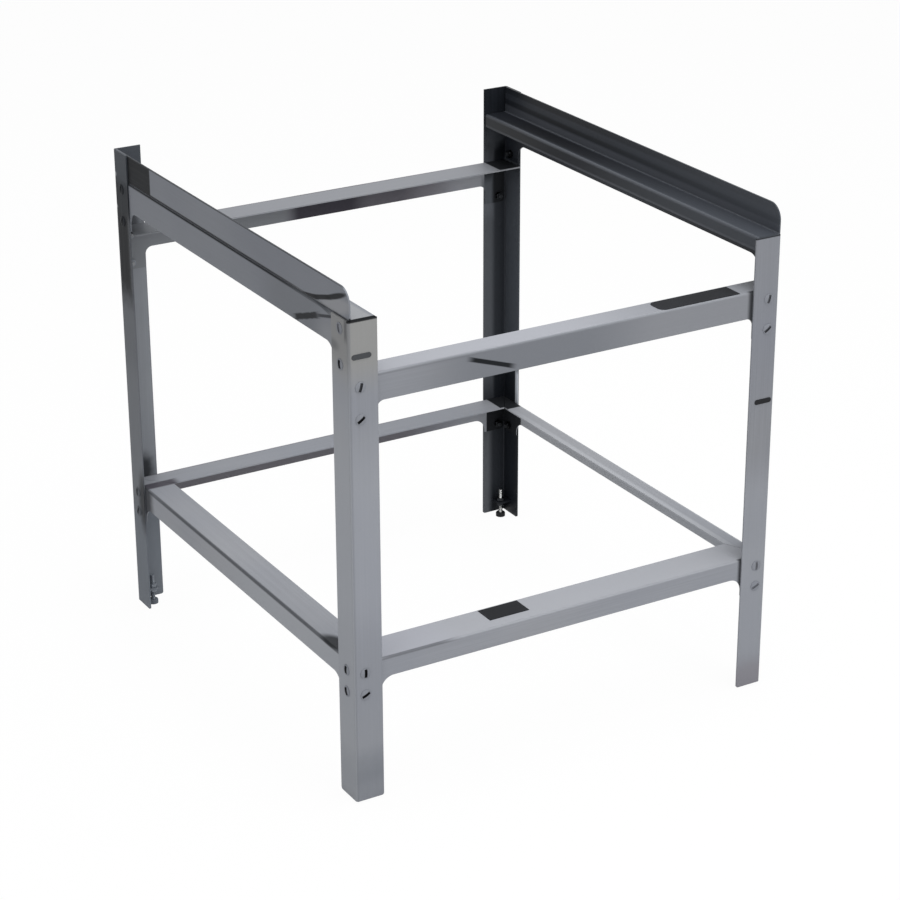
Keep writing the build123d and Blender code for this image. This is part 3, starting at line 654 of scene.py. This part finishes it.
def slotted_screw():
    """A low mushroom head with its drive slot below Z 0, and a threaded shank above."""
    bpy.ops.object.select_all(action="DESELECT")
    bpy.ops.mesh.primitive_cylinder_add(vertices=HEAD_SIDES, radius=HEAD_RADIUS, depth=HEAD_RIM,
                                        location=(0, 0, -HEAD_RIM / 2))
    screw = bpy.context.object
    bpy.ops.object.transform_apply(location=True)
    # The crown rises in rings from the rim, along a ball's surface
    ball = (HEAD_RADIUS ** 2 + HEAD_CROWN ** 2) / (2 * HEAD_CROWN)
    pick(screw, lambda co: co.z < -HEAD_RIM + SAME_POINT)
    bpy.ops.mesh.select_mode(type="FACE")
    reach, rise = HEAD_RADIUS, 0.0
    for step in range(1, CROWN_RINGS):
        next_reach = HEAD_RADIUS * (1 - step / CROWN_RINGS)
        next_rise = HEAD_CROWN - ball + math.sqrt(ball ** 2 - next_reach ** 2)
        bpy.ops.mesh.inset(thickness=reach - next_reach, depth=0.0)
        bpy.ops.transform.translate(value=(0, 0, rise - next_rise))
        reach, rise = next_reach, next_rise
    bpy.ops.object.mode_set(mode="OBJECT")
    bpy.ops.object.select_all(action="DESELECT")
    # The cutter is twice as long as the head is wide and stands half out of it
    bpy.ops.mesh.primitive_cube_add(size=1, location=(0, 0, -HEAD_RIM - HEAD_CROWN),
                                    scale=(4 * HEAD_RADIUS, DRIVE_WIDTH, 2 * DRIVE_DEPTH))
    cutter = bpy.context.object
    bpy.ops.object.transform_apply(location=True, scale=True)
    combine(screw, cutter, "DIFFERENCE")
    combine(screw, thread(-SHANK_SUNK, SCREW_LENGTH), "UNION")
    bpy.ops.object.shade_smooth_by_angle(angle=SHARP_EDGE)
    return screw


def set_copies(pattern, name, places, body, node, material):
    """Copies of a pattern, each with its own mesh, joined as one piece in place of a CAD node."""
    bpy.ops.object.select_all(action="DESELECT")
    for place in places:
        piece = bpy.data.objects.new(name, pattern.data.copy())
        bpy.context.scene.collection.objects.link(piece)
        piece.data.transform(place)
        piece.select_set(True)
    bpy.context.view_layer.objects.active = piece
    if len(places) > 1:
        bpy.ops.object.join()
    piece.name = name
    piece.data.materials.clear()
    piece.data.materials.append(material)
    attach(piece, body)
    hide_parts(node)


def fastener_places(side, end, sunk):
    """Where one leg's fasteners sit: own Z inward through the leg, own X along the drive slot."""
    places = []
    for front, joints in ((True, FRONT_SCREWS), (False, SIDE_SCREWS)):
        for height, turn, _ in joints:
            lean, rise = math.sin(math.radians(turn)), math.cos(math.radians(turn))
            if front:
                origin = Vector((side * (HALF_X - FRONT_GAUGE), end * HALF_Y, height))
                inward, slot = Vector((0, -end, 0)), Vector((rise, 0, lean))
            else:
                origin = Vector((side * HALF_X, end * (HALF_Y - SIDE_GAUGE), height))
                inward, slot = Vector((-side, 0, 0)), Vector((0, side * end * lean, rise))
            turned = Matrix((slot, inward.cross(slot), inward)).transposed().to_4x4()
            moved = Matrix.Translation((origin + sunk * inward) * MM)
            places.append(moved @ turned @ Matrix.Scale(MM, 4))
    return places


def foot_places(side, end, height):
    """The one place of a piece on a foot's axis, at a height."""
    axis = Vector((side * (HALF_X - FOOT_INSET), end * (HALF_Y - FOOT_INSET), 0)) * MM
    return [Matrix.Translation(axis + Vector((0, 0, height * MM))) @ Matrix.Scale(MM, 4)]


screw_pattern, nut_pattern = slotted_screw(), hex_nut(NUT_HEIGHT)
jam_pattern, stem_pattern = hex_nut(JAM_NUT_HEIGHT), thread(STEM_BASE, STEM_TOP)
for corner, (side, end) in CORNERS.items():
    plated = NUT_FINISHES[corner]
    painted = brushed_sheet("satin_screws_" + corner, "Z", SCREW_TONES[corner],
                            SCREW_DARKENING[corner] + screw_marks(corner))
    set_copies(screw_pattern, corner + "_slotted_screws", fastener_places(side, end, 0.0),
               "frame", corner + "_screws", painted)
    set_copies(nut_pattern, corner + "_hex_nuts", fastener_places(side, end, JOINT_STACK),
               "frame", corner + "_nuts", plated)
    set_copies(nut_pattern, corner + "_hex_weld_nut",
               foot_places(side, end, PLATE_UNDER + PLATE_THICKNESS),
               "frame", corner + "_foot_weld_nut", plated)
    set_copies(jam_pattern, corner + "_hex_jam_nut",
               foot_places(side, end, PLATE_UNDER - JAM_NUT_HEIGHT),
               "frame", corner + "_foot_jam_nut", plated)
    set_copies(stem_pattern, corner + "_threaded_stem", foot_places(side, end, 0),
               corner + "_stem", corner + "_foot_stem", STEM_FINISHES[corner])
for pattern in (screw_pattern, nut_pattern, jam_pattern, stem_pattern):
    bpy.data.objects.remove(pattern, do_unlink=True)

# Stage: a white floor that keeps a faint shadow, a white world, soft lamps. Metres and watts.
FLOOR_SIDE = 40.0
WHITE, FLOOR_WHITE = "FFFFFF", "EAEAEA"    # as sRGB; the floor's matt paint lights the stand
FLOOR_CLEAR = 0.96                 # share of the floor that is seen as plain white
ROOM_LIGHT, ROOM_SEEN = 0.5, 0.98  # the world's strength as light and as background
AIM = Vector((0.0, 0.0, 0.35))     # what the lamps point at
LAMPS = {
    # name: place, side, watts
    "overhead_softbox": ((0.3, -0.4, 3.0), 2.6, 72.0),
    "front_softbox": ((0.6, -3.4, 1.9), 2.0, 37.0),
    "left_fill": ((-3.2, -1.2, 1.6), 2.0, 15.0),
}


def seen_ray(tree):
    """1 for rays that show the background: from the camera, off gloss or through glass."""
    path = add(tree, "LightPath").outputs
    either = add(tree, "Math", operation="MAXIMUM",
                 links={0: path["Is Camera Ray"], 1: path["Is Glossy Ray"]})
    return add(tree, "Math", operation="MAXIMUM",
               links={0: either.outputs[0], 1: path["Is Transmission Ray"]}).outputs[0]


def white_floor():
    """Matt white floor: seen almost as plain white, and lights the stand as a pale floor would."""
    material = bpy.data.materials.new("matt_white_floor")
    material.use_nodes = True
    tree = material.node_tree
    tree.nodes.clear()
    matt = add(tree, "BsdfDiffuse", values={"Color": linear(FLOOR_WHITE)})
    bright = add(tree, "Emission", values={"Color": linear(WHITE), "Strength": 1.0})
    share = add(tree, "Math", operation="MULTIPLY", links={0: seen_ray(tree)},
                values={1: FLOOR_CLEAR})
    mixed = add(tree, "MixShader",
                links={0: share.outputs[0], 1: matt.outputs[0], 2: bright.outputs[0]})
    add(tree, "OutputMaterial", links={"Surface": mixed.outputs[0]})
    return material


bpy.ops.object.select_all(action="DESELECT")
bpy.ops.mesh.primitive_plane_add(size=FLOOR_SIDE, location=(0, 0, 0))
floor = bpy.context.object
floor.name = "floor"
floor.data.materials.append(white_floor())

world = bpy.data.worlds.new("white_room")
bpy.context.scene.world = world
world.use_nodes = True
world.node_tree.nodes.clear()
room = add(world.node_tree, "Background", values={"Color": linear(WHITE)})
level = add(world.node_tree, "MapRange", links={"Value": seen_ray(world.node_tree)},
            values={"To Min": ROOM_LIGHT, "To Max": ROOM_SEEN})
world.node_tree.links.new(level.outputs[0], room.inputs["Strength"])
add(world.node_tree, "OutputWorld", links={"Surface": room.outputs[0]})

for name, (place, width, watts) in LAMPS.items():
    lamp = bpy.data.lights.new(name, "AREA")
    lamp.shape = "SQUARE"
    lamp.size = width
    lamp.energy = watts
    box = bpy.data.objects.new(name, lamp)
    box.location = place
    box.rotation_mode = "QUATERNION"
    box.rotation_quaternion = (AIM - Vector(place)).to_track_quat("-Z", "Y")
    bpy.context.scene.collection.objects.link(box)

camera = bpy.data.objects.new("camera", bpy.data.cameras.new("camera"))
turned = Matrix.Rotation(math.radians(CAMERA_TURN), 4, "Z")
dropped = Matrix.Rotation(math.radians(90 - CAMERA_DROP), 4, "X")
rolled = Matrix.Rotation(math.radians(CAMERA_ROLL), 4, "Z")
camera.matrix_world = Matrix.Translation(CAMERA_PLACE) @ turned @ dropped @ rolled
camera.data.sensor_width = SENSOR
camera.data.lens = CAMERA_FOCUS / PICTURE_SIDE * SENSOR
bpy.context.scene.collection.objects.link(camera)
bpy.context.scene.camera = camera
bpy.context.scene.view_settings.view_transform = "Standard"
